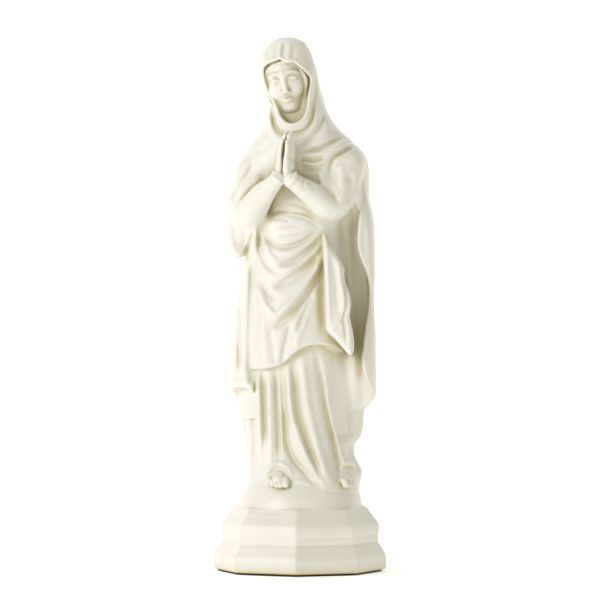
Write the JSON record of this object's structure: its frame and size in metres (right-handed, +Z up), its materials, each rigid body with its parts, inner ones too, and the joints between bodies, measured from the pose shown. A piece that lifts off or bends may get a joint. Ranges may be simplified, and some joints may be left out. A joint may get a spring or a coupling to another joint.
{
  "type": "madonna statue",
  "caption": "Praying madonna in ivory porcelain, veiled and cloaked with hands together, on a round mound over a moulded octagonal plinth.",
  "frame": {"origin": "centre of the base pad's underside, on the surface that the statue stands on", "axes": "+Z up, the statue faces -Y with a corner of the plinth, +X towards the statue's own left hand"},
  "size_m": [0.107, 0.107, 0.33],
  "materials": {
    "porcelain": "satin ivory glaze",
    "felt": "matt black felt"
  },
  "bodies": {
    "root": {"base_pad": "felt", "plinth": "porcelain", "mound": "porcelain", "gown": "porcelain", "torso": "porcelain", "overskirt": "porcelain", "head": "porcelain", "right_hand": "porcelain", "left_hand": "porcelain", "left_sleeve": "porcelain", "right_sleeve": "porcelain", "veil": "porcelain", "cloak": "porcelain", "drape_tail": "porcelain", "right_foot": "porcelain", "left_foot": "porcelain"}
  },
  "joints": []
}
